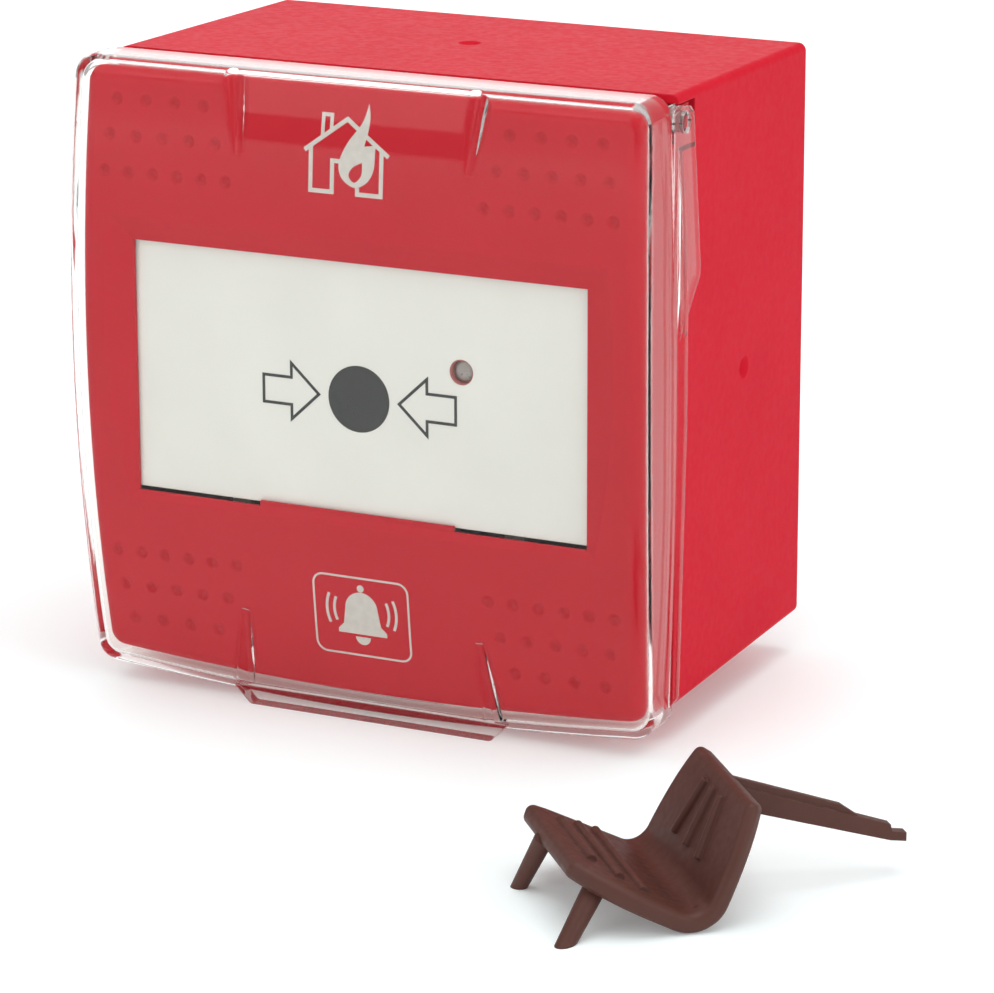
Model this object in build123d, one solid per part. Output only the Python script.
"""Resettable manual call point on a surface box, with its hinged clear cover and its test key.

Millimetres. The origin is the centre of the back box's rear face, which lies on the wall.
+X is to the right of a person facing the unit, +Y points into the wall, +Z is up.
"""
from math import atan2, degrees, hypot
import os

from build123d import *

# ---- back box ----------------------------------------------------------------------------
BOX_HALF = 43.5             # half side at the wall
BOX_RIM_HALF = 44.2         # half side at the open front rim
BOX_DEPTH = 48.0
BOX_WALL = 2.2
BOX_FLOOR = 2.5
BOX_CORNER = 1.2
PILLAR_X = 30.15            # half of the 60.3 mm spacing of the front's fixing screws
PILLAR_RADIUS = 4.0
PILLAR_HOLE = 1.75
PILLAR_FRONT = -47.5
WALL_HOLE_X = 25.0
WALL_HOLE_Z = 30.0
WALL_HOLE_RADIUS = 2.3
ENTRY_RADIUS = 10.0         # 20 mm cable entry in the rear wall
ENTRY_Z = 24.0
KNOCK_OUT_WIDTH = 0.9       # groove round the spare entry, below the middle
KNOCK_OUT_DEPTH = 0.6
INNER_CORNER = 0.8
REAR_ROUND = 0.6
PILLAR_BORE_DEPTH = 17.0
OVERCUT = 1.0               # how far a cut runs past the face it opens
DRILL_MARK_RADIUS = 2.0
DRILL_MARK_TIP = 0.5
DRILL_MARK_DEPTH = 0.9
DRILL_MARK_Y = -23.0
NOTCH_DEEP = 3.4            # hinge notch in each side wall
NOTCH_REAR = -42.2
NOTCH_LOW = 36.4
NOTCH_HIGH = 42.9

# ---- front moulding ----------------------------------------------------------------------
FACE_CREST = -60.6          # most forward line of the arched face
CREST_Z = 7.0
ARCH_RADIUS = 357.0
FASCIA_REAR = -48.2
FASCIA_MID = 44.4           # half width at the crest
FASCIA_TOP_HALF = 43.5
FASCIA_LOW_HALF = 43.3
FASCIA_TOP = 43.4
FASCIA_LOW_CORNER = -44.0
FASCIA_LOW_MID = -46.0
FASCIA_WALL = 2.0
FASCIA_CORNER = 2.6
FASCIA_EDGE = 2.2
POCKET_FRONT = -56.0        # deep pocket behind the face
POCKET_LOW = -35.0
POCKET_HIGH = 39.6
LOW_POCKET_FRONT = -54.6    # shallower pocket below it, where the face slopes back
LOW_POCKET_LOW = -41.6
CAM_POCKET_HALF = 6.0
REAR_POCKET = (42.1, -42.4, 41.8)       # half width, bottom and top of the recess for the collar
SEAT_POCKET = (38.4, -25.5, 28.0)       # the same for the recess behind the window edge
CUT_REAR = -40.0            # any cut from behind starts here
SEAT_FRONT = -58.75         # flat seat behind the window edge
WINDOW_HALF = 35.9
WINDOW_LOW = -18.7
WINDOW_HIGH = 18.6
WINDOW_EDGE_Y = -59.2
BEVEL_WIDTH = 5.6
TAB_LEFT = -15.9
TAB_RIGHT = 15.2
TAB_TOP = -17.9
DIMPLE_RADIUS = 0.95
DIMPLE_FLOOR = 0.45         # radius at the bottom of a dimple
DIMPLE_SINK = 0.5
# height above and below the middle, number a side, nearest to the middle, step
DIMPLE_ROWS = ((28.5, 6, 20.3, 3.95), (33.8, 5, 22.0, 4.3), (39.0, 4, 24.0, 4.7))
LUG = (41.0, 43.9, 37.0, 42.6)          # hinge lug: inner and outer x, bottom and top
LUG_FRONT = 2.2             # ahead of the hinge line
LUG_REAR = -44.0
KEY_ENTRY_HALF = (3.6, 2.4)             # opening for the key's blade, below the face
PRONG_ENTRY = (7.6, 11.4, 1.3)          # and the two for its prongs: inner and outer x, half depth
GROOVE_X = 18.0             # apex of the V grooves that frame the middle of the face
GROOVE_TOP = 33.0
GROOVE_LOW = -35.0
GROOVE_TIP = 0.15
GROOVE_MOUTH = 1.4
GROOVE_SINK = 0.35
SCOOP_DEPTH = 1.7

# ---- cover -------------------------------------------------------------------------------
COVER_GAP = 0.35
COVER_WALL = 1.25
COVER_FACE_GAP = 0.6
COVER_TOP = 44.95
COVER_LOW_CORNER = -46.2
COVER_LOW_MID = -48.6
COVER_REAR = -50.4
COVER_TOP_REAR = -52.6
COVER_CORNER = 3.2
COVER_EDGE = 2.6
COVER_INNER_CORNER = 2.4
COVER_INNER_EDGE = 1.6
# side ear seen from the side, as (y, z)
EAR = ((-53.0, 8.0), (-53.0, 42.4), (-50.4, 43.2), (-47.6, 42.9), (-46.4, 41.8), (-43.7, 19.6),
       (-43.9, 18.2), (-50.4, 10.4), (-50.4, 8.0))
EAR_ROOT = 0.6              # how far the ear reaches into the wall
# bowed flange along the side seen from the front, as (x, z)
STRIP = ((45.0, -43.0), (46.1, -41.5), (46.95, -1.0), (46.95, 15.0), (46.4, 30.0), (45.85, 38.0),
         (45.0, 38.0))
STRIP_THICK = 1.2
HINGE_Y = -48.8
HINGE_Z = 40.8
PIN_INNER = 41.3
PIN_RADIUS = 1.5
RUNNING_GAP = 0.06
EAR_INNER = 44.65
EAR_OUTER = 45.85
LIP_LOW = -49.4
LIP_HIGH = -46.6
LIP_FRONT = -58.6
LIP_REAR = -55.4
LIP_X = (-21.4, -18.6, 20.4, 23.2)      # top left, bottom left, bottom right, top right
LIP_ROUND = 1.0
REAR_TRIM = 1.4             # the ear walls are cut back to EAR_INNER over this depth
TOP_TRIM_Z = 40.0
CORNER_TRIM_Z = 42.2        # above this the corners are cut back too, so that they clear the box
FAR = 60.0                  # beyond any part

# ---- chassis and mechanism -----------------------------------------------------------------
PLATE_FRONT = -49.8
PLATE_REAR = -47.5
COLLAR_HALF = 41.4
COLLAR_WALL = 1.6
COLLAR_FRONT = -53.0
COLLAR_GAP = 0.4
MOUTH_HALF = 19.5
WELL_LOW = -24.0
WELL_HIGH = 16.0
WELL_WALL = 1.6
WELL_REAR = -30.0
WELL_FLOOR = 2.0
WELL_FLANGE = (24.5, -25.6, 20.5)       # half width, bottom and top
CORNER_CUT = (38.3, 35.4)   # inner x and bottom of the cut for each hinge lug
LED_TOWER_RADIUS = 3.2
LED_TOWER_FRONT = -46.0
GUIDE_WALL = 1.8
GUIDE_FRONT = -54.9
GUIDE_LOW = -33.0
GUIDE_HIGH = 10.2
GUIDE_RELIEF_FRONT = -53.5
GUIDE_LIP_INNER = 22.2
GUIDE_LIP_REAR = -53.9
GUIDE_LIPS = ((5.0, 10.2), (-33.0, -26.0))
SPRING_SHELF = (11.0, 17.0, 36.5, 38.5) # inner and outer x, bottom and top
REST_X = (34.0, 38.0)       # posts that hold the front moulding off the plate
REST_Z = 33.0
REST_HALF = 1.2
CAM_BOSS = (4.5, -40.0, -37.0)          # half width, bottom and top
CHASSIS_SCREW_HOLE = 2.0
SWITCH_SCREW_X = (-13.7, -4.2)
SWITCH_SCREW_Z = -20.2
SWITCH_POST_RADIUS = 2.2
SWITCH_POST_BORE = 1.05
SWITCH_BORE_END = -33.4
TERMINAL_X = (-16.5, -9.0, -1.5)
TERMINAL_Z = -14.3
TERMINAL_THICK = 0.5
LEG_END = 1.0               # how far a soldered leg stands out behind the board
LEG_RADIUS = 0.3
LEG_SPACING = 1.27          # half of the indicator's lead spacing
BOARD_POST_X = 21.0
BOARD_POST_Z = 18.0
BOARD_POST_RADIUS = 2.6
BOARD_POST_BORE = 1.15
BOARD_FRONT = -28.0
BOARD_REAR = -26.4
LED_X = 16.2
LED_Z = 4.5
RAIL_INNER = 20.5
RAIL_OUTER = 23.5
RAIL_FRONT = -53.6
RAIL_REAR = -50.1
ELEMENT_FRONT = -58.55
ELEMENT_REAR = -57.2
ELEMENT_HALF = 37.4
ELEMENT_LOW = -18.2
ELEMENT_TOP = 19.4
CREASE_Z = 10.5
PIVOT_Y = -55.6
PIVOT_Z = 18.4
PIVOT_RADIUS = 0.8
SWITCH_LEFT = -18.9
SWITCH_RIGHT = 0.9
SWITCH_LOW = -23.0
SWITCH_TOP = -12.8
SWITCH_FRONT = -45.4
SWITCH_REAR = -39.0
LEVER_X = -18.0
LEVER_Z = -11.7
LEVER_ANGLE = 10.0
LEVER_LENGTH = 18.6
PLUNGER_X = -12.0
CAM_Y = -52.9
POLE_Z = 12.5
POLES = [5.0 * (i - 2.5) for i in range(6)]
CAM_RADIUS = 2.0

SCREW_HEAD = 1.9            # the two screws that hold the chassis to the box
SCREW_HEAD_RADIUS = 2.9
SCREW_SHANK = 1.7
SCREW_END = -35.0
SCREW_CROSS = (1.9, 0.45, 0.9)          # half length and half width of each slot, metal left below it
BOARD_HALF = 25.0
BOARD_LOW = -23.0
BOARD_HIGH = 22.0
BOARD_SCREW = (2.1, 1.5, 1.1, -31.2)    # head radius and height, shank radius, where it ends
BLOCK_HALF = 15.4           # terminal block
BLOCK_REAR = -15.4
BLOCK_LOW = 7.5
BLOCK_HIGH = 17.5
POLE_HALF = 1.9
LED_RADIUS = 1.5
LED_BASE_RADIUS = 1.9
LED_LENGTH = 4.0
PIPE = (-34.6, -55.2, 1.7)  # light pipe: rear, front, radius
PIPE_COLLAR = (-46.0, -47.0, 2.4)
RESISTOR_Z = (-12.0, -17.0)
RESISTOR_RADIUS = 1.0
RESISTOR_CAP = 1.25
RESISTOR_SPAN = 5.6         # half the distance between its legs
FLAG = (33.0, -58.5, -57.3, 19.8, 27.0) # half width, front, rear, bottom, top
SPRING_X = 14.0
SPRING = (2.0, 0.25, 26.8, 36.2, 6)     # radius, wire, bottom, top, turns
CAM_LOW = -42.8
CAM_SHOULDER = -31.5
CAM_TOP = -29.5
CAM_GROOVE = (-41.3, -40.5, 1.7)
CLIP_RADIUS = 2.9
CAM_SPRING = (2.38, 0.22, -36.7, -31.8, 5)

# ---- test key, in its own frame: L along the key, W across it, Z up from the surface ---------
KEY_X = 71.0
KEY_Y = -104.3
KEY_TURN = 40.5
KEY_CENTRE_W = 3.8
KEY_THICK = 2.6
KEY_LEFT_LENGTH = 18.0
KEY_LEFT_RISE = 9.4
KEY_RIGHT_LENGTH = 8.2
KEY_RIGHT_RISE = 16.8
KEY_BEND = 5.4              # outer radius of the valley
KEY_HALF_WIDTH = 15.0
KEY_SPAN = 40.0
KEY_ROUND = 1.0
KEY_BLADE = 1.6
KEY_SPINE = 1.0
KEY_RIDGE = 0.7
KEY_RIB = 1.3
# pad ridges: place along the pad and both ends across it
KEY_PAD_RIDGES = ((-16.4, -6.0, 9.0), (-13.4, -9.6, 10.4), (-10.4, -11.6, 11.4))
KEY_WING_RIDGES = (-4.8, 0.0, 4.8)
# prongs: foot, top, radius
KEY_PRONGS = (((-19.8, -14.6, -1.0), (-13.6, -9.4, 6.0), 1.4),
              ((-19.8, 7.6, -1.0), (-17.0, 3.8, 7.6), 1.2))
KEY_NECK = 2.2              # length of the thinner tip of the blade
KEY_TIP_L = 31.0
KEY_TIP_RISE = 4.4


def block(x0, x1, y0, y1, z0, z1):
    """A box between two corners."""
    size = (abs(x1 - x0), abs(y1 - y0), abs(z1 - z0))
    return Pos((x0 + x1) / 2, (y0 + y1) / 2, (z0 + z1) / 2) * Box(*size)


def rod(start, end, radius, end_radius=None):
    """A round bar, or a cone, from one point to another."""
    way = Vector(*end) - Vector(*start)
    place = Plane(origin=start, z_dir=way)
    lift = Pos(0, 0, way.length / 2)
    if end_radius is None:
        return place * lift * Cylinder(radius, way.length)
    return place * lift * Cone(radius, end_radius, way.length)


def rod_x(x0, x1, y, z, radius):
    return rod((x0, y, z), (x1, y, z), radius)


def rod_y(x, y0, y1, z, radius):
    return rod((x, y0, z), (x, y1, z), radius)


def rod_z(x, y, z0, z1, radius):
    return rod((x, y, z0), (x, y, z1), radius)


def prism_x(points, x0, x1):
    """A straight-sided outline given as (y, z), extruded from x0 to x1."""
    outline = [Vector(x0, y, z) for y, z in points]
    return extrude(make_face(Polyline(*outline, close=True)), amount=x1 - x0, dir=(1, 0, 0))


def prism_y(points, y0, y1):
    """A straight-sided outline given as (x, z), extruded from y0 to y1."""
    outline = [Vector(x, y0, z) for x, z in points]
    return extrude(make_face(Polyline(*outline, close=True)), amount=y1 - y0, dir=(0, 1, 0))


def both_sides(shape):
    """A shape and its mirror image across the middle plane x = 0."""
    return [shape, mirror(shape, about=Plane.YZ)]


def face_y(z, crest):
    """Where the arched face lies at height z."""
    return crest + (z - CREST_Z) ** 2 / (2 * ARCH_RADIUS)


def barrel(mid, top_half, low_half, top, low_corner, low_mid, crest, rear, corner, edge):
    """The bowed, arched pillow shape shared by the front moulding and the cover."""
    front = crest - 5
    start = Vector(low_half, front, low_corner)
    upper = Vector(top_half, front, top)
    upper_left = Vector(-top_half, front, top)
    lower_left = Vector(-low_half, front, low_corner)
    outline = [
        ThreePointArc(start, Vector(mid, front, CREST_Z), upper),
        Line(upper, upper_left),
        ThreePointArc(upper_left, Vector(-mid, front, CREST_Z), lower_left),
        ThreePointArc(lower_left, Vector(0, front, low_mid), start),
    ]
    plan = extrude(make_face(Wire(outline)), amount=rear - front, dir=(0, 1, 0))
    plan = fillet(plan.edges().filter_by(Axis.Y), corner)
    low = low_mid - 3
    high = top + 3
    far = mid + 5
    arc = ThreePointArc(Vector(-far, face_y(low, crest), low), Vector(-far, crest, CREST_Z),
                        Vector(-far, face_y(high, crest), high))
    side = [
        arc,
        Line(arc @ 1, Vector(-far, rear, high)),
        Line(Vector(-far, rear, high), Vector(-far, rear, low)),
        Line(Vector(-far, rear, low), arc @ 0),
    ]
    profile = extrude(make_face(Wire(side)), amount=2 * far, dir=(1, 0, 0))
    body = plan & profile
    rim = [e for e in body.edges() if e.bounding_box().max.Y < rear - 2]
    return fillet(rim, edge)


def flutes(extra):
    """Tapered V grooves at the top and bottom of the face; extra widens them for the inner skin."""
    shapes = []
    skin = FACE_CREST - COVER_FACE_GAP - COVER_WALL
    top_apex = (GROOVE_X, face_y(GROOVE_TOP, skin), GROOVE_TOP)
    top_end = (GROOVE_X + 1.2, face_y(46, skin) + GROOVE_SINK, 47.0)
    low_apex = (GROOVE_X + 0.9, face_y(GROOVE_LOW, skin), GROOVE_LOW)
    low_end = (GROOVE_X + 2.4, face_y(-49, skin) + GROOVE_SINK, -51.0)
    for start, end in ((top_apex, top_end), (low_apex, low_end)):
        shapes += both_sides(rod(start, end, GROOVE_TIP + extra, GROOVE_MOUTH + extra))
    return shapes


def scoops(crest):
    """Shallow slopes between the grooves, where the face falls back towards its edges."""
    shapes = []
    for way, start, end, half in ((1, 34.0, 47.0, GROOVE_X), (-1, 36.0, 51.0, GROOVE_X + 1)):
        middle = (start + end) / 2
        curve = ThreePointArc(
            Vector(-half, face_y(way * start, crest) - 0.02, way * start),
            Vector(-half, face_y(way * middle, crest) + SCOOP_DEPTH / 4, way * middle),
            Vector(-half, face_y(way * end, crest) + SCOOP_DEPTH, way * end),
        )
        front = Vector(-half, crest - 10, way * end)
        near = Vector(-half, crest - 10, way * start)
        outline = Wire([curve, Line(curve @ 1, front), Line(front, near), Line(near, curve @ 0)])
        shapes.append(extrude(make_face(outline), amount=2 * half, dir=(1, 0, 0)))
    return shapes


def back_box():
    rear = Plane.XZ * RectangleRounded(2 * BOX_HALF, 2 * BOX_HALF, BOX_CORNER)
    rim = Plane.XZ.offset(BOX_DEPTH) * RectangleRounded(2 * BOX_RIM_HALF, 2 * BOX_RIM_HALF, BOX_CORNER)
    shell = loft([rear, rim])
    inner_rear = 2 * (BOX_HALF - BOX_WALL)
    inner_rim = 2 * (BOX_RIM_HALF - BOX_WALL)
    low = Plane.XZ.offset(BOX_FLOOR) * RectangleRounded(inner_rear, inner_rear, INNER_CORNER)
    high = Plane.XZ.offset(BOX_DEPTH + OVERCUT / 2) * RectangleRounded(inner_rim, inner_rim, INNER_CORNER)
    shell -= loft([low, high])
    shell = fillet(shell.faces().sort_by(Axis.Y)[-1].outer_wire().edges(), REAR_ROUND)
    for pillar in both_sides(rod_y(PILLAR_X, -BOX_FLOOR, PILLAR_FRONT, 0, PILLAR_RADIUS)):
        shell += pillar
    bore_end = PILLAR_FRONT + PILLAR_BORE_DEPTH
    cuts = both_sides(rod_y(PILLAR_X, PILLAR_FRONT - OVERCUT, bore_end, 0, PILLAR_HOLE))
    for x in (-WALL_HOLE_X, WALL_HOLE_X):
        for z in (-WALL_HOLE_Z, WALL_HOLE_Z):
            cuts.append(rod_y(x, -BOX_FLOOR - OVERCUT, OVERCUT, z, WALL_HOLE_RADIUS))
    cuts.append(rod_y(0, -BOX_FLOOR - OVERCUT, OVERCUT, ENTRY_Z, ENTRY_RADIUS))
    knock_out = rod_y(0, -KNOCK_OUT_DEPTH, OVERCUT, -ENTRY_Z, ENTRY_RADIUS)
    knock_out -= rod_y(0, -OVERCUT, 2 * OVERCUT, -ENTRY_Z, ENTRY_RADIUS - KNOCK_OUT_WIDTH)
    cuts.append(knock_out)
    side = BOX_HALF + (BOX_RIM_HALF - BOX_HALF) * -DRILL_MARK_Y / BOX_DEPTH
    for turn in range(4):
        mark = rod((side + 0.2, DRILL_MARK_Y, 0), (side - DRILL_MARK_DEPTH, DRILL_MARK_Y, 0),
                   DRILL_MARK_RADIUS, DRILL_MARK_TIP)
        cuts.append(Rot(0, 90 * turn, 0) * mark)
    cuts += both_sides(block(BOX_RIM_HALF - NOTCH_DEEP, BOX_RIM_HALF + OVERCUT, -BOX_DEPTH - OVERCUT,
                             NOTCH_REAR, NOTCH_LOW, NOTCH_HIGH))
    for cut in cuts:
        shell -= cut
    return shell


def fascia():
    body = barrel(FASCIA_MID, FASCIA_TOP_HALF, FASCIA_LOW_HALF, FASCIA_TOP, FASCIA_LOW_CORNER,
                  FASCIA_LOW_MID, FACE_CREST, FASCIA_REAR, FASCIA_CORNER, FASCIA_EDGE)
    for shape in flutes(COVER_WALL + COVER_FACE_GAP) + scoops(FACE_CREST):
        body -= shape
    pocket_x = FASCIA_TOP_HALF - FASCIA_WALL
    joined = POCKET_LOW + OVERCUT
    body -= block(-pocket_x, pocket_x, POCKET_FRONT, CUT_REAR, POCKET_LOW, POCKET_HIGH)
    body -= block(-CAM_POCKET_HALF, CAM_POCKET_HALF, POCKET_FRONT, CUT_REAR, LOW_POCKET_LOW, joined)
    body -= block(-pocket_x, pocket_x, LOW_POCKET_FRONT, CUT_REAR, LOW_POCKET_LOW, joined)
    half, low, high = REAR_POCKET
    body -= block(-half, half, COLLAR_FRONT - COLLAR_GAP, CUT_REAR, low, high)
    half, low, high = SEAT_POCKET
    body -= block(-half, half, SEAT_FRONT, PLATE_FRONT, low, high)
    crest_face = Plane.XZ.offset(-FACE_CREST + COVER_GAP)
    height = WINDOW_HIGH - WINDOW_LOW
    outer = crest_face * Rectangle(2 * (WINDOW_HALF + BEVEL_WIDTH), height + 2 * BEVEL_WIDTH)
    inner = Plane.XZ.offset(-WINDOW_EDGE_Y) * Rectangle(2 * WINDOW_HALF, height)
    body -= loft([inner, outer])
    opening = block(-WINDOW_HALF, WINDOW_HALF, WINDOW_EDGE_Y - 10, PLATE_FRONT, WINDOW_LOW, WINDOW_HIGH)
    body -= opening - block(TAB_LEFT, TAB_RIGHT, WINDOW_EDGE_Y, SEAT_FRONT, WINDOW_LOW - 10, TAB_TOP)
    dimples = []
    for height, count, first, step in DIMPLE_ROWS:
        for way in (-1, 1):
            z = way * height
            y = face_y(z, FACE_CREST)
            for i in range(count):
                x = first + step * i
                dimples += both_sides(rod((x, y + DIMPLE_SINK, z), (x, y - DIMPLE_SINK, z), DIMPLE_FLOOR,
                                          2 * DIMPLE_RADIUS - DIMPLE_FLOOR))
    body -= dimples
    inner, outer, low, high = LUG
    for shape in both_sides(block(inner, outer, HINGE_Y - LUG_FRONT, LUG_REAR, low, high)):
        body += shape
    for hole in both_sides(rod_x(inner - 3, outer + 2.1, HINGE_Y, HINGE_Z, PIN_RADIUS + RUNNING_GAP)):
        body -= hole
    low = FASCIA_LOW_MID - 4
    high = LOW_POCKET_LOW + 1.6
    half, deep = KEY_ENTRY_HALF
    body -= block(-half, half, CAM_Y - deep, CAM_Y + deep, low, high)
    inner, outer, deep = PRONG_ENTRY
    for slot in both_sides(block(inner, outer, CAM_Y - deep, CAM_Y + deep, low, high)):
        body -= slot
    return body


def clear_cover():
    grow = COVER_GAP + COVER_WALL
    outer = barrel(FASCIA_MID + grow, FASCIA_TOP_HALF + grow, FASCIA_LOW_HALF + grow, COVER_TOP,
                   COVER_LOW_CORNER, COVER_LOW_MID, FACE_CREST - COVER_FACE_GAP - COVER_WALL, COVER_REAR,
                   COVER_CORNER, COVER_EDGE)
    inner = barrel(FASCIA_MID + COVER_GAP, FASCIA_TOP_HALF + COVER_GAP, FASCIA_LOW_HALF + COVER_GAP,
                   COVER_TOP - COVER_WALL, COVER_LOW_CORNER + COVER_WALL, COVER_LOW_MID + COVER_WALL,
                   FACE_CREST - COVER_FACE_GAP, COVER_REAR + 3, COVER_INNER_CORNER, COVER_INNER_EDGE)
    for shape in flutes(0) + scoops(FACE_CREST - COVER_FACE_GAP - COVER_WALL):
        outer -= shape
    for shape in flutes(COVER_WALL) + scoops(FACE_CREST - COVER_FACE_GAP):
        inner -= shape
    body = outer
    for shape in both_sides(prism_x(EAR, EAR_INNER - EAR_ROOT, EAR_OUTER)):
        body += shape
    for shape in both_sides(prism_y(STRIP, COVER_REAR - STRIP_THICK, COVER_REAR)):
        body += shape
    top_left, low_left, low_right, top_right = LIP_X
    outline = [(top_left, LIP_HIGH), (low_left, LIP_LOW), (low_right, LIP_LOW), (top_right, LIP_HIGH)]
    lip = prism_y(outline, LIP_FRONT, LIP_REAR)
    body += fillet(lip.edges().filter_by(Axis.Y).group_by(Axis.Z)[0], LIP_ROUND)
    body -= inner
    body -= block(-EAR_INNER, EAR_INNER, COVER_REAR - REAR_TRIM, CUT_REAR, -FAR, FAR)
    half = EAR_INNER - 0.9
    body -= block(-half, half, COVER_TOP_REAR, CUT_REAR, TOP_TRIM_Z, FAR)
    body -= block(-EAR_INNER, EAR_INNER, COVER_TOP_REAR, CUT_REAR, CORNER_TRIM_Z, FAR)
    for hole in both_sides(rod_x(PIN_INNER, EAR_OUTER + OVERCUT, HINGE_Y, HINGE_Z, PIN_RADIUS)):
        body -= hole
    return body


def cover_pins():
    pins = []
    for side in (-1, 1):
        pin = rod_x(side * PIN_INNER, side * EAR_OUTER, HINGE_Y, HINGE_Z, PIN_RADIUS)
        pins.append(pin)
    return Compound(pins)


def chassis():
    half = COLLAR_HALF
    body = block(-half, half, PLATE_FRONT, PLATE_REAR, -half, half)
    collar = block(-half, half, COLLAR_FRONT, PLATE_REAR, -half, half)
    inside = half - COLLAR_WALL
    collar -= block(-inside, inside, COLLAR_FRONT - 1, PLATE_REAR + 1, -inside, inside)
    body += collar
    inner, low = CORNER_CUT
    for shape in both_sides(block(inner, FAR, -FAR, CUT_REAR, low, FAR)):
        body -= shape
    out = MOUTH_HALF + WELL_WALL
    body += block(-out, out, PLATE_REAR - 0.5, WELL_REAR, WELL_LOW - WELL_WALL, WELL_HIGH + WELL_WALL)
    floor_front = WELL_REAR - WELL_FLOOR
    half, low, high = WELL_FLANGE
    body += block(-half, half, floor_front, WELL_REAR, low, high)
    body -= block(-MOUTH_HALF, MOUTH_HALF, -FAR, floor_front, WELL_LOW, WELL_HIGH)
    body += rod_y(LED_X, floor_front, LED_TOWER_FRONT, LED_Z, LED_TOWER_RADIUS)
    for x in SWITCH_SCREW_X:
        body += rod_y(x, floor_front, SWITCH_REAR, SWITCH_SCREW_Z, SWITCH_POST_RADIUS)
    guide_outer = RAIL_OUTER + 0.3 + GUIDE_WALL
    guide = block(RAIL_OUTER + 0.3, guide_outer, GUIDE_FRONT, PLATE_FRONT, GUIDE_LOW, GUIDE_HIGH)
    relief_low = GUIDE_LIPS[1][1]
    relief_high = GUIDE_LIPS[0][0]
    guide -= block(RAIL_INNER, guide_outer + 1, GUIDE_FRONT - 1, GUIDE_RELIEF_FRONT, relief_low, relief_high)
    for low, high in GUIDE_LIPS:
        guide += block(GUIDE_LIP_INNER, guide_outer, GUIDE_FRONT, GUIDE_LIP_REAR, low, high)
    for shape in both_sides(guide):
        body += shape
    inner, outer, low, high = SPRING_SHELF
    for shape in both_sides(block(inner, outer, POCKET_FRONT, PLATE_FRONT, low, high)):
        body += shape
    inner, outer = REST_X
    for z in (-REST_Z, REST_Z):
        rest = block(inner, outer, POCKET_FRONT, PLATE_FRONT, z - REST_HALF, z + REST_HALF)
        for shape in both_sides(rest):
            body += shape
    half, low, high = CAM_BOSS
    body += block(-half, half, POCKET_FRONT, PLATE_FRONT, low, high)
    body -= rod_z(0, CAM_Y, low - 5, high + 0.5, CAM_RADIUS + 0.08)
    body -= block(-half - 0.1, half + 0.1, -FAR, PLATE_FRONT, low - 5, low)
    for x in (-BOARD_POST_X, BOARD_POST_X):
        for z in (-BOARD_POST_Z, BOARD_POST_Z):
            body += rod_y(x, WELL_REAR, BOARD_FRONT, z, BOARD_POST_RADIUS)
            body -= rod_y(x, WELL_REAR - 1.8, BOARD_FRONT + OVERCUT, z, BOARD_POST_BORE)
    for hole in both_sides(rod_y(PILLAR_X, -FAR, CUT_REAR, 0, CHASSIS_SCREW_HOLE)):
        body -= hole
    body -= rod_y(LED_X, PLATE_FRONT, -34.0, LED_Z, 1.75)
    body -= rod_y(LED_X, -34.2, -29, LED_Z, 2.3)
    for x in SWITCH_SCREW_X:
        body -= rod_y(x, SWITCH_FRONT, SWITCH_BORE_END, SWITCH_SCREW_Z, SWITCH_POST_BORE)
    for x in TERMINAL_X:
        body -= block(x - 1.0, x + 1.0, -34, -29, TERMINAL_Z - 0.7, TERMINAL_Z + 0.7)
    return body


def chassis_screws():
    screws = []
    for side in (-1, 1):
        x = side * PILLAR_X
        screw = rod_y(x, PLATE_FRONT - SCREW_HEAD, PLATE_FRONT, 0, SCREW_HEAD_RADIUS)
        screw = fillet(screw.edges().sort_by(Axis.Y)[:1], 1.1)
        screw += rod_y(x, PLATE_FRONT, SCREW_END, 0, SCREW_SHANK)
        long, wide, left = SCREW_CROSS
        for half_x, half_z in ((long, wide), (wide, long)):
            screw -= block(x - half_x, x + half_x, -FAR, PLATE_FRONT - left, -half_z, half_z)
        screws.append(screw)
    return Compound(screws)


def circuit_board():
    board = block(-BOARD_HALF, BOARD_HALF, BOARD_FRONT, BOARD_REAR, BOARD_LOW, BOARD_HIGH)
    board = fillet(board.edges().filter_by(Axis.Y), 1.5)
    for x in (-BOARD_POST_X, BOARD_POST_X):
        for z in (-BOARD_POST_Z, BOARD_POST_Z):
            board -= rod_y(x, -30, -20, z, 1.25)
    for x in TERMINAL_X:
        board -= rod_y(x, -30, -20, TERMINAL_Z, 0.75)
    for x in (-LEG_SPACING, LEG_SPACING):
        board -= rod_y(LED_X + x, -30, -20, LED_Z, 0.45)
    return board


def board_screws():
    screws = []
    for x in (-BOARD_POST_X, BOARD_POST_X):
        for z in (-BOARD_POST_Z, BOARD_POST_Z):
            head_radius, head, shank, end = BOARD_SCREW
            screw = rod_y(x, BOARD_REAR, BOARD_REAR + head, z, head_radius)
            screw = fillet(screw.edges().sort_by(Axis.Y)[-1:], 0.8)
            screw += rod_y(x, end, BOARD_REAR, z, shank)
            screw -= block(x - 1.6, x + 1.6, BOARD_REAR + 0.8, BOARD_REAR + 3, z - 0.35, z + 0.35)
            screws.append(screw)
    return Compound(screws)


def terminal_block():
    body = block(-BLOCK_HALF, BLOCK_HALF, BOARD_REAR, BLOCK_REAR, BLOCK_LOW, BLOCK_HIGH)
    body = fillet(body.edges().filter_by(Axis.X).sort_by(Axis.Y)[-2:], 1.0)
    for x in POLES:
        body -= block(x - POLE_HALF, x + POLE_HALF, -24.8, -20.0, BLOCK_LOW - OVERCUT, 15.5)
        body -= rod_y(x, -21, -10, POLE_Z, 1.75)
    return body


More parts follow.
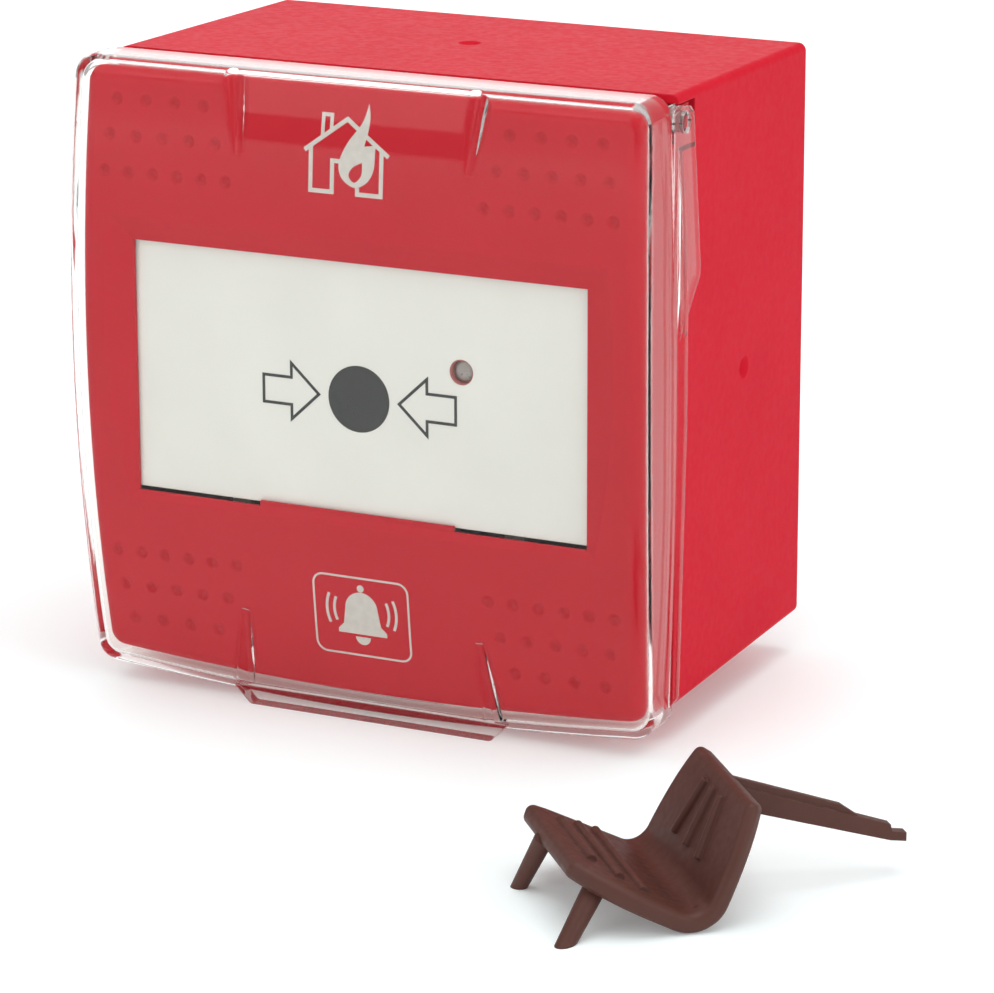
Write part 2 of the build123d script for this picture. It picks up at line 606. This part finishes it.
def terminal_clamps():
    clamps = []
    for x in POLES:
        clamp = block(x - 1.8, x + 1.8, -24.6, SWITCH_SCREW_Z, 8.7, 15.1)
        clamp -= block(x - 1.2, x + 1.2, -23.9, -21.2, 5, 20)
        clamp -= rod_y(x, -22, -19, POLE_Z, 1.1)
        clamps.append(clamp)
    return Compound(clamps)


def terminal_screws():
    screws = []
    for x in POLES:
        screw = rod_y(x, -22.4, -18.6, POLE_Z, 1.05)
        screw += rod_y(x, -18.6, -17.0, POLE_Z, 1.65)
        screw -= block(x - 1.8, x + 1.8, -17.7, -16, POLE_Z - 0.3, POLE_Z + 0.3)
        screws.append(screw)
    return Compound(screws)


def indicator_led():
    led = rod_y(LED_X, BOARD_FRONT, BOARD_FRONT - 1.0, LED_Z, LED_BASE_RADIUS)
    led += rod_y(LED_X, BOARD_FRONT - 1.0, BOARD_FRONT - LED_LENGTH, LED_Z, LED_RADIUS)
    led += Pos(LED_X, BOARD_FRONT - LED_LENGTH, LED_Z) * Sphere(LED_RADIUS)
    for x in (-LEG_SPACING, LEG_SPACING):
        led += rod_y(LED_X + x, BOARD_FRONT, BOARD_REAR + LEG_END, LED_Z, LEG_RADIUS)
    return led


def light_pipe():
    rear, front, radius = PIPE
    pipe = rod_y(LED_X, rear, front, LED_Z, radius)
    pipe = fillet(pipe.edges().sort_by(Axis.Y)[:1], 0.7)
    rear, front, radius = PIPE_COLLAR
    pipe += rod_y(LED_X, rear, front, LED_Z, radius)
    return pipe


def resistors():
    parts = []
    for z in RESISTOR_Z:
        y = BOARD_REAR + 1.5
        body = rod_x(-3.4, 3.4, y, z, RESISTOR_RADIUS)
        for x in (-2.8, 2.8):
            body += rod_x(x - 0.7, x + 0.7, y, z, RESISTOR_CAP)
        for side in (-1, 1):
            body += rod_x(side * 3.3, side * RESISTOR_SPAN, y, z, LEG_RADIUS)
            body += Pos(side * RESISTOR_SPAN, y, z) * Sphere(LEG_RADIUS)
            body += rod_y(side * RESISTOR_SPAN, y, BOARD_REAR, z, LEG_RADIUS)
        parts.append(body)
    return Compound(parts)


def switch_body():
    body = block(SWITCH_LEFT, SWITCH_RIGHT, SWITCH_FRONT, SWITCH_REAR, SWITCH_LOW, SWITCH_TOP)
    body = fillet(body.edges().filter_by(Axis.Y), 0.8)
    for y0, y1 in ((SWITCH_FRONT, SWITCH_FRONT + 0.9), (SWITCH_REAR - 0.9, SWITCH_REAR)):
        ear = block(-18.9, -16.9, y0, y1, SWITCH_TOP - 1.0, LEVER_Z + 1.0)
        body += ear
    body -= rod_y(LEVER_X, -50, -30, LEVER_Z, 0.5)
    body -= block(PLUNGER_X - 1.5, PLUNGER_X + 1.5, -43.2, -41.2, -18.8, -10)
    for x in SWITCH_SCREW_X:
        body -= rod_y(x, -50, -30, SWITCH_SCREW_Z, 1.1)
    return body


def switch_plunger():
    plunger = block(PLUNGER_X - 1.4, PLUNGER_X + 1.4, -43.1, -41.3, -17.2, -11.02)
    return fillet(plunger.edges().filter_by(Axis.Y).sort_by(Axis.Z)[-2:], 0.5)


def switch_lever():
    blade = block(0, LEVER_LENGTH, -44.2, -40.2, -0.2, 0.2)
    tip = Pos(LEVER_LENGTH, -42.2, 0) * Rot(90, 0, 0) * Cylinder(0.6, 4.0)
    knuckle = Pos(0, -42.2, 0) * Rot(90, 0, 0) * Cylinder(1.0, 4.0)
    lever = blade + tip + knuckle
    lever -= Pos(0, -42.2, 0) * Rot(90, 0, 0) * Cylinder(0.5 + RUNNING_GAP, 10.0)
    return Pos(LEVER_X, 0, LEVER_Z) * Rot(0, -LEVER_ANGLE, 0) * lever


def lever_pin():
    return rod_y(LEVER_X, SWITCH_FRONT, SWITCH_REAR, LEVER_Z, 0.5)


def switch_terminals():
    pins = []
    for x in TERMINAL_X:
        low = TERMINAL_Z - TERMINAL_THICK / 2
        pins.append(block(x - 0.5, x + 0.5, SWITCH_REAR, BOARD_REAR + LEG_END, low, low + TERMINAL_THICK))
    return Compound(pins)


def switch_screws():
    screws = []
    for x in SWITCH_SCREW_X:
        screw = rod_y(x, SWITCH_FRONT - 1.3, SWITCH_FRONT, SWITCH_SCREW_Z, 1.8)
        screw = fillet(screw.edges().sort_by(Axis.Y)[:1], 0.7)
        screw += rod_y(x, SWITCH_FRONT, -34.0, SWITCH_SCREW_Z, 1.0)
        screw -= block(x - 1.3, x + 1.3, -48, SWITCH_FRONT - 0.6,
                       SWITCH_SCREW_Z - 0.3, SWITCH_SCREW_Z + 0.3)
        screws.append(screw)
    return Compound(screws)


def carrier():
    body = block(-RAIL_OUTER, RAIL_OUTER, -57.3, RAIL_REAR, 24.0, 26.5)
    for side in (-1, 1):
        body += block(side * RAIL_INNER, side * RAIL_OUTER, RAIL_FRONT, RAIL_REAR, -27.0, 25.0)
        body += block(side * RAIL_INNER, side * RAIL_OUTER, -56.8, RAIL_REAR, 15.6, 25.0)
    body += block(-RAIL_OUTER, RAIL_OUTER, RAIL_FRONT, -51.1, -6.5, -3.0)
    body += block(-3.0, 3.0, RAIL_FRONT, -51.1, -22.0, -4.0)
    body += block(-3.0, 1.0, -52.0, -40.6, -5.9, -3.3)
    body -= rod_x(-30, 30, PIVOT_Y, PIVOT_Z, PIVOT_RADIUS)
    return body


def carrier_pin():
    return rod_x(-RAIL_OUTER, RAIL_OUTER, PIVOT_Y, PIVOT_Z, PIVOT_RADIUS)


def alarm_flag():
    half, front, rear, low, high = FLAG
    flag = block(-half, half, front, rear, low, high)
    return fillet(flag.edges().filter_by(Axis.Y), 1.0)


def operating_element():
    profile = [(ELEMENT_FRONT, ELEMENT_LOW), (ELEMENT_FRONT, CREASE_Z), (ELEMENT_FRONT + 0.25, ELEMENT_TOP),
               (ELEMENT_REAR + 0.1, ELEMENT_TOP), (ELEMENT_REAR, CREASE_Z), (ELEMENT_REAR, ELEMENT_LOW)]
    body = prism_x(profile, -ELEMENT_HALF, ELEMENT_HALF)
    for shape in both_sides(block(15.4, 19.9, -57.4, PIVOT_Y, PIVOT_Z - 1.6, PIVOT_Z + 0.9)):
        body += shape
    for shape in both_sides(rod_x(15.4, 19.9, PIVOT_Y, PIVOT_Z, 1.6)):
        body += shape
    body -= rod_x(-30, 30, PIVOT_Y, PIVOT_Z, PIVOT_RADIUS + RUNNING_GAP)
    body -= rod_y(LED_X, -60, -56.5, LED_Z, 1.85)
    return body


def coil(radius, wire, low, high, turns):
    """A round-wire compression spring standing along Z."""
    path = Helix(pitch=(high - low) / turns, height=high - low, radius=radius)
    ring = Plane(origin=path @ 0, z_dir=path % 0) * Circle(wire)
    return Pos(0, 0, low) * sweep(ring, path=path)


def drop_springs():
    spring = coil(*SPRING)
    return Compound([Pos(x, CAM_Y - 0.4, 0) * spring for x in (-SPRING_X, SPRING_X)])


def reset_cam():
    body = rod_z(0, CAM_Y, CAM_LOW, CAM_SHOULDER, CAM_RADIUS)
    body += rod_z(0, CAM_Y, CAM_SHOULDER, CAM_TOP, 2.7)
    ridge = rod_z(0, CAM_Y, -30, -27.4, 2.6) & block(0.4, 4, CAM_Y - 4, CAM_Y + 0.8, -31, -27)
    body += ridge
    body -= block(-1.5, 1.5, CAM_Y - 0.65, CAM_Y + 0.65, -45, -34)
    low, high, radius = CAM_GROOVE
    groove = rod_z(0, CAM_Y, low, high, 3) - rod_z(0, CAM_Y, low - OVERCUT, high + OVERCUT, radius)
    return body - groove


def cam_clip():
    low, high, radius = CAM_GROOVE
    ring = rod_z(0, CAM_Y, low + 0.05, high - 0.05, CLIP_RADIUS)
    ring -= rod_z(0, CAM_Y, low - OVERCUT, high + OVERCUT, radius)
    return ring - block(-1.2, 1.2, CAM_Y - 4, CAM_Y - 0.8, -42, -40)


def cam_spring():
    return Pos(0, CAM_Y, 0) * coil(*CAM_SPRING)


def key_place(shape):
    """From the key's own frame to the place where it lies."""
    return Pos(KEY_X, KEY_Y, LIP_LOW) * Rot(0, 0, KEY_TURN) * Pos(0, KEY_CENTRE_W, 0) * shape


def key_strip():
    """The saddle's bent side view: a shallow pad, a rounded valley and a steep wing."""
    start = -KEY_SPAN / 2
    foot = Vector(0, start, 0)
    left = Vector(-KEY_LEFT_LENGTH, start, KEY_LEFT_RISE)
    right = Vector(KEY_RIGHT_LENGTH, start, KEY_RIGHT_RISE)
    left_up = Vector(KEY_LEFT_RISE, 0, KEY_LEFT_LENGTH).normalized()
    right_up = Vector(-KEY_RIGHT_RISE, 0, KEY_RIGHT_LENGTH).normalized()
    inner_foot = foot + (left_up + right_up) * (KEY_THICK / (1 + left_up.dot(right_up)))
    inner_left = left + left_up * KEY_THICK
    inner_right = right + right_up * KEY_THICK
    outer = FilletPolyline(left, foot, right, radius=KEY_BEND)
    inner = FilletPolyline(inner_left, inner_foot, inner_right, radius=KEY_BEND - KEY_THICK)
    ends = [Line(left, inner_left), Line(right, inner_right)]
    outline = Wire([*outer.edges(), *inner.edges(), *ends])
    return extrude(make_face(outline), amount=KEY_SPAN, dir=(0, 1, 0))


def key_outline():
    """The saddle seen from above."""
    half = KEY_HALF_WIDTH
    wing = KEY_RIGHT_LENGTH + 1
    pad = -KEY_LEFT_LENGTH - 1
    curves = [
        Line((0, -half), (pad * 0.4, -half)),
        ThreePointArc((pad * 0.4, -half), (pad * 0.78, -half * 0.84), (pad, -half * 0.4)),
        Line((pad, -half * 0.4), (pad, half * 0.5)),
        ThreePointArc((pad, half * 0.5), (pad * 0.94, half * 0.78), (pad * 0.74, half * 0.9)),
        Line((pad * 0.74, half * 0.9), (0, half)),
        ThreePointArc((0, half), (wing * 0.62, half * 0.87), (wing, half * 0.33)),
        Line((wing, half * 0.33), (wing, -half * 0.33)),
        ThreePointArc((wing, -half * 0.33), (wing * 0.62, -half * 0.87), (0, -half)),
    ]
    return extrude(make_face(Wire(curves)), amount=KEY_RIGHT_RISE + 2 * KEY_THICK, dir=(0, 0, 1))


def key_ridges():
    """Grip ridges across the pad and up the wing, and the rib along the valley."""
    slope = degrees(atan2(KEY_LEFT_RISE, KEY_LEFT_LENGTH))
    ridges = []
    for along, low, high in KEY_PAD_RIDGES:
        ridge = rod((along, low, KEY_THICK), (along, high, KEY_THICK), KEY_RIDGE)
        ridges.append(Rot(0, slope, 0) * ridge)
    slope = degrees(atan2(KEY_RIGHT_RISE, KEY_RIGHT_LENGTH))
    for across in KEY_WING_RIDGES:
        ridge = rod((8.0, across * 1.1, KEY_THICK), (16.4, across * 0.7, KEY_THICK), KEY_RIDGE)
        ridges.append(Rot(0, -slope, 0) * ridge)
    rib_z = KEY_THICK + 1.1
    ridges.append(rod((-1.0, -12.6, rib_z), (0.4, 13.0, rib_z), KEY_RIB))
    return ridges


def test_key():
    body = key_strip() & key_outline()
    body = fillet(body.edges(), KEY_ROUND)
    drop = body.bounding_box().min.Z
    body += key_ridges()
    body = Pos(0, 0, -drop) * body
    above = block(-FAR, FAR, -FAR, FAR, 0, FAR)
    for foot, top, radius in KEY_PRONGS:
        body += rod(foot, top, radius * 0.85, radius * 1.1) & above
    neck = KEY_TIP_L - KEY_NECK
    blade = [(6.2, 14.7), (neck, KEY_TIP_RISE + 2.5), (neck + 0.2, KEY_TIP_RISE + 1.5),
             (KEY_TIP_L, KEY_TIP_RISE + 1.2), (KEY_TIP_L, KEY_TIP_RISE), (neck, KEY_TIP_RISE + 0.3),
             (6.2, 11.4)]
    outline = [Vector(along, -KEY_BLADE / 2, z) for along, z in blade]
    body += extrude(make_face(Polyline(*outline, close=True)), amount=KEY_BLADE, dir=(0, 1, 0))
    spine = [(7.0, 15.4), (22.0, 10.2), (25.0, 8.0), (7.0, 13.4)]
    outline = [Vector(along, -KEY_SPINE / 2, z) for along, z in spine]
    body += extrude(make_face(Polyline(*outline, close=True)), amount=KEY_SPINE, dir=(0, 1, 0))
    return key_place(body)


NODES = [
    back_box, chassis, fascia, chassis_screws, circuit_board, board_screws, terminal_block,
    terminal_clamps, terminal_screws, indicator_led, light_pipe, resistors, switch_body,
    switch_plunger, switch_lever, lever_pin, switch_terminals, switch_screws, carrier, carrier_pin,
    alarm_flag, operating_element, drop_springs, reset_cam, cam_clip, cam_spring, clear_cover,
    cover_pins, test_key,
]


def main():
    os.makedirs("parts", exist_ok=True)
    for make in NODES:
        export_step(make(), "parts/" + make.__name__ + ".step")


main()
